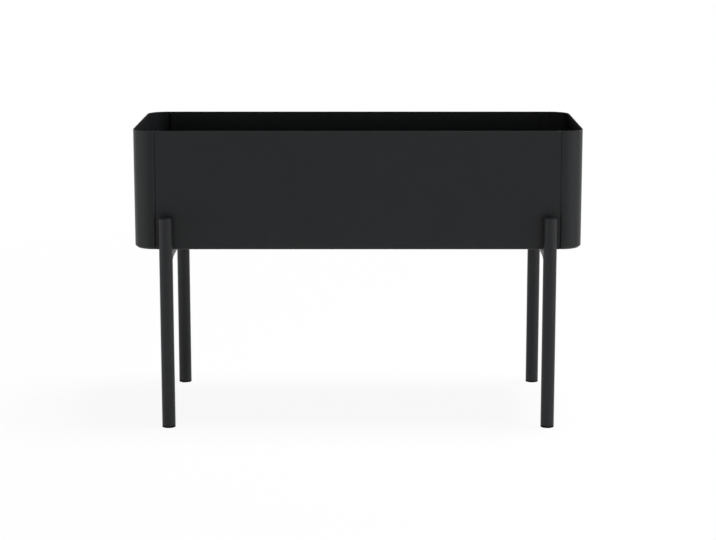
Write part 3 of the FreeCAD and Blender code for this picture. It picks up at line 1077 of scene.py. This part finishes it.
dome = []
for turn in quarter_turns(DOME_STEPS):
    radius = CROWN_RADIUS + (HEAD_RADIUS - CROWN_RADIUS) * math.cos(turn)
    dome.append((radius, -HEAD_HEIGHT + HEAD_RIM + (HEAD_HEIGHT - HEAD_RIM) * math.sin(turn)))
screw_outline = [
    (0, -HEAD_HEIGHT - SHANK_LENGTH),
    (SHANK_RADIUS, -HEAD_HEIGHT - SHANK_LENGTH),
    (SHANK_RADIUS, -HEAD_HEIGHT),
    (HEAD_RADIUS, -HEAD_HEIGHT),
    *dome,
    (hexagon(SOCKET_WIDTH), 0),
    (hexagon(SOCKET_WIDTH), -SOCKET_DEPTH),
    (0, -SOCKET_DEPTH),
]
screw = turned("leg_screw", screw_outline, sides=FASTENER_SIDES)
set_fasteners(
    "leg_button_screws", with_soft_edges(screw, SCREW_EDGE), "leg_screws", zinc_steel, "zinc_steel",
    most_turn=SIXTH_TURN, seed=3,
)

# %% Washers and rivet nuts
WASHER_RADIUS = 7.0 * MM
WASHER_BORE = 3.25 * MM
WASHER_THICKNESS = 1.5 * MM
WASHER_EDGE = 0.35 * MM
FLANGE_RADIUS = 6.0 * MM
FLANGE_THICKNESS = 1.2 * MM
BARREL_RADIUS = 4.5 * MM
BARREL_LENGTH = 14.0 * MM
RIVET_BORE = 3.0 * MM
RIVET_EDGE = 0.15 * MM

washer = turned(
    "leg_washer",
    [
        (WASHER_BORE, 0),
        (WASHER_RADIUS, 0),
        (WASHER_RADIUS, -WASHER_THICKNESS),
        (WASHER_BORE, -WASHER_THICKNESS),
    ],
    closed=True,
    sides=FASTENER_SIDES,
)
set_fasteners(
    "leg_seal_washers", with_soft_edges(washer, WASHER_EDGE, segments=3), "leg_washers", washer_rubber,
    "washer_rubber",
)
rivet_nut = turned(
    "leg_rivet_nut",
    [
        (RIVET_BORE, 0),
        (FLANGE_RADIUS, 0),
        (FLANGE_RADIUS, -FLANGE_THICKNESS),
        (BARREL_RADIUS, -FLANGE_THICKNESS),
        (BARREL_RADIUS, -FLANGE_THICKNESS - BARREL_LENGTH),
        (RIVET_BORE, -FLANGE_THICKNESS - BARREL_LENGTH),
    ],
    closed=True,
    sides=FASTENER_SIDES,
)
set_fasteners(
    "leg_rivet_sleeves", with_soft_edges(rivet_nut, RIVET_EDGE), "leg_rivet_nuts", zinc_steel, "zinc_steel"
)

# %% [markdown]
# ### Studs and nuts of the end caps
#
# A thread is a ridge that climbs as it goes round. On a grid of rings, the radius of a point follows a
# triangle wave of its height minus its share of the turn, and that alone makes a true helix. The nut's
# sides are a hexagon, and a cone takes their corners off at both ends: the farther out a point of the
# hexagon is, the deeper the cone reaches there.

# %% Studs with a thread
STUD_RADIUS = 2.0 * MM
STUD_LENGTH = 9.0 * MM
THREAD_PITCH = 0.7 * MM
THREAD_DEPTH = 0.35 * MM
THREAD_SIDES = 28
ROWS_PER_TURN = 6
STUD_TIP = 0.5 * MM


def threaded_stud():
    bm = bmesh.new()
    rows = round(STUD_LENGTH / THREAD_PITCH * ROWS_PER_TURN)
    grid = []
    for row in range(rows + 1):
        height = -STUD_LENGTH * row / rows
        tip = min(-height / STUD_TIP, 1.0)
        ring = []
        for step in range(THREAD_SIDES):
            share = step / THREAD_SIDES
            ridge = abs(2 * ((height / THREAD_PITCH - share) % 1.0) - 1)
            radius = STUD_RADIUS - THREAD_DEPTH * ridge - THREAD_DEPTH * (1 - tip) * (1 - ridge)
            turn = 2 * math.pi * share
            ring.append(bm.verts.new((radius * math.cos(turn), radius * math.sin(turn), height)))
        grid.append(ring)
    for upper, lower in zip(grid, grid[1:]):
        for step in range(THREAD_SIDES):
            after = (step + 1) % THREAD_SIDES
            bm.faces.new([upper[step], upper[after], lower[after], lower[step]])
    bm.faces.new(grid[0])
    bm.faces.new(grid[-1])
    stud = mesh_from(bm, "stud")
    crease(stud)
    return stud


set_fasteners("seam_weld_studs", threaded_stud(), "seam_studs", zinc_steel, "zinc_steel", seed=5)
set_fasteners(
    "floor_weld_studs", threaded_stud(), "floor_studs", zinc_steel, "zinc_steel", on_floor=True, seed=6
)

# %% Nuts with chamfered corners
NUT_WIDTH = 7.0 * MM
NUT_HEIGHT = 3.2 * MM
NUT_FACE_RADIUS = 3.3 * MM
NUT_SLOPE = math.tan(math.radians(30))
NUT_EDGE = 0.05 * MM


def hexagon_nut():
    side = hexagon(NUT_WIDTH)

    def upper(turn):
        return NUT_SLOPE * (NUT_FACE_RADIUS - side(turn))

    def lower(turn):
        return -NUT_HEIGHT - upper(turn)

    outline = [
        (STUD_RADIUS, 0),
        (NUT_FACE_RADIUS, 0),
        (side, upper),
        (side, lower),
        (NUT_FACE_RADIUS, -NUT_HEIGHT),
        (STUD_RADIUS, -NUT_HEIGHT),
    ]
    nut = turned("nut", outline, closed=True, sides=FASTENER_SIDES)
    return with_soft_edges(nut, NUT_EDGE, segments=1)


set_fasteners(
    "seam_hexagon_nuts", hexagon_nut(), "seam_nuts", zinc_steel, "zinc_steel", most_turn=SIXTH_TURN, seed=7
)
set_fasteners(
    "floor_hexagon_nuts", hexagon_nut(), "floor_nuts", zinc_steel, "zinc_steel", on_floor=True,
    most_turn=SIXTH_TURN, seed=8,
)

# %% [markdown]
# ## Studio
#
# A dark coat shows what it mirrors as much as its own tone, so the light is planned as a picture of its
# own. The planter stands on a plain white floor, which throws light up at the walls. The air is bright at
# the horizon and dim above it, a lamp hangs high overhead to the right, and two low lamps, one on each
# side, draw the rounded corners.
#
# The floor has to look white to the camera, and it also has to keep the planter's shadow. So rays from
# the camera, and those that a surface mirrors, see a mix of glow and of ordinary matt white; light that
# bounces on its way to the planter sees the matt white alone. Farther away, where no shadow falls, the
# share of the glow grows until the floor is all white.

# %% White paint of the floor
PURE_WHITE = (1.0, 1.0, 1.0, 1.0)
FLOOR_WHITE = (0.86, 0.86, 0.86, 1.0)
NEAR_GLOW = 0.93
FAR_GLOW = 1.0
NEAR_REACH = 1.0
FAR_REACH = 3.0


def seen_directly(tree):
    """1 for rays of the camera and for mirrored or refracted ones, otherwise 0."""
    path = tree.nodes.new("ShaderNodeLightPath").outputs
    total = path["Is Camera Ray"]
    for name in ("Is Glossy Ray", "Is Transmission Ray"):
        total = calculated(tree, "MAXIMUM", total, path[name])
    return total


floor_paint = bpy.data.materials.new("studio_white")
tree = empty_tree(floor_paint)
matt = add_node(tree, "ShaderNodeBsdfDiffuse", Color=FLOOR_WHITE)
glow = add_node(tree, "ShaderNodeEmission", Color=PURE_WHITE, Strength=1.0)
place = tree.nodes.new("ShaderNodeTexCoord").outputs["Object"]
distance = add_node(tree, "ShaderNodeVectorMath", {"operation": "LENGTH"}, Vector=place).outputs["Value"]
glowing = spread(tree, distance, NEAR_GLOW, FAR_GLOW, NEAR_REACH, FAR_REACH)
blend = add_node(
    tree, "ShaderNodeMixShader", Fac=calculated(tree, "MULTIPLY", seen_directly(tree), glowing)
)
feed(tree, blend.inputs[1], matt.outputs["BSDF"])
feed(tree, blend.inputs[2], glow.outputs["Emission"])
add_node(tree, "ShaderNodeOutputMaterial", Surface=blend.outputs["Shader"])
print("floor paint:", len(tree.nodes), "nodes")

# %% Floor
FLOOR_HALF = 60.0

floor_mesh = bpy.data.meshes.new("studio_floor")
floor_corners = [(x * FLOOR_HALF, y * FLOOR_HALF, 0) for x, y in ((-1, -1), (1, -1), (1, 1), (-1, 1))]
floor_mesh.from_pydata(floor_corners, [], [(0, 1, 2, 3)])
floor_mesh.materials.append(floor_paint)
floor = new_object("studio_floor", floor_mesh)
print("floor:", 2 * FLOOR_HALF, "m wide")

# %% World
HORIZON_LEVEL = 1.0
HORIZON_END = 0.10
CEILING_LEVEL = 0.04
CEILING_START = 0.17

world = bpy.data.worlds.new("studio_air")
tree = empty_tree(world)
direction = tree.nodes.new("ShaderNodeTexCoord").outputs["Generated"]
upward = add_node(tree, "ShaderNodeSeparateXYZ", Vector=direction).outputs["Z"]
level = spread(tree, upward, HORIZON_LEVEL, CEILING_LEVEL, HORIZON_END, CEILING_START)
air = add_node(tree, "ShaderNodeBackground", Color=PURE_WHITE, Strength=level)
add_node(tree, "ShaderNodeOutputWorld", Surface=air.outputs["Background"])
bpy.context.scene.world = world
print("world:", len(tree.nodes), "nodes")

# %% Lamps
OVERHEAD_LEVEL = 24.0
RIGHT_LEVEL = 1.7
LEFT_LEVEL = 1.6
# name: place, width, height, brightness
LAMPS = {
    "overhead_box": (Vector((1.5, 0.3, 6.0)), 2.4, 2.4, OVERHEAD_LEVEL),
    "right_box": (Vector((2.6, -1.5, 0.40)), 2.4, 0.8, RIGHT_LEVEL),
    "left_box": (Vector((-2.7, -1.2, 0.32)), 2.4, 0.64, LEFT_LEVEL),
}

middle = (cad_box[0] + cad_box[1]) / 2
for name, (spot, width, height, brightness) in LAMPS.items():
    lamp = bpy.data.lights.new(name, "AREA")
    lamp.shape = "RECTANGLE"
    lamp.size = width
    lamp.size_y = height
    lamp.energy = brightness * math.pi * width * height
    lamp_object = new_object(name, lamp)
    lamp_object.location = spot
    aim = Vector((0, 0, spot.z)) if spot.z < RIM else middle
    lamp_object.rotation_euler = (aim - spot).to_track_quat("-Z", "Y").to_euler()
    print(f"{name}: {lamp.energy:.0f} W")

# %% [markdown]
# ## Camera
#
# The view is from the front and a little from above. Place, tilt and focal length, which is in pixels of
# an image 716 wide, were found by matching the planter's outline to the picture. The camera turned out to
# stand a touch to the right of the middle, though the planter's front is in the middle of the picture. A
# small sideways shift of the lens does that without turning the camera, which would slant the front.

# %% Camera
IMAGE_WIDTH = 716
SENSOR_WIDTH = 36.0
FOCAL_PIXELS = 2046.6
SHIFT_PIXELS = -6.66
CAMERA_PLACE = (0.0149, -4.6862, 1.1942)
CAMERA_TILT = math.radians(10.585)

lens = bpy.data.cameras.new("camera")
lens.sensor_width = SENSOR_WIDTH
lens.lens = SENSOR_WIDTH * FOCAL_PIXELS / IMAGE_WIDTH
lens.shift_x = SHIFT_PIXELS / IMAGE_WIDTH
lens.clip_end = 4 * FLOOR_HALF
camera = new_object("camera", lens)
camera.location = CAMERA_PLACE
camera.rotation_euler = (math.pi / 2 - CAMERA_TILT, 0.0, 0.0)
bpy.context.scene.camera = camera
bpy.context.scene.view_settings.view_transform = "Standard"
print("lens:", round(lens.lens, 1), "mm")
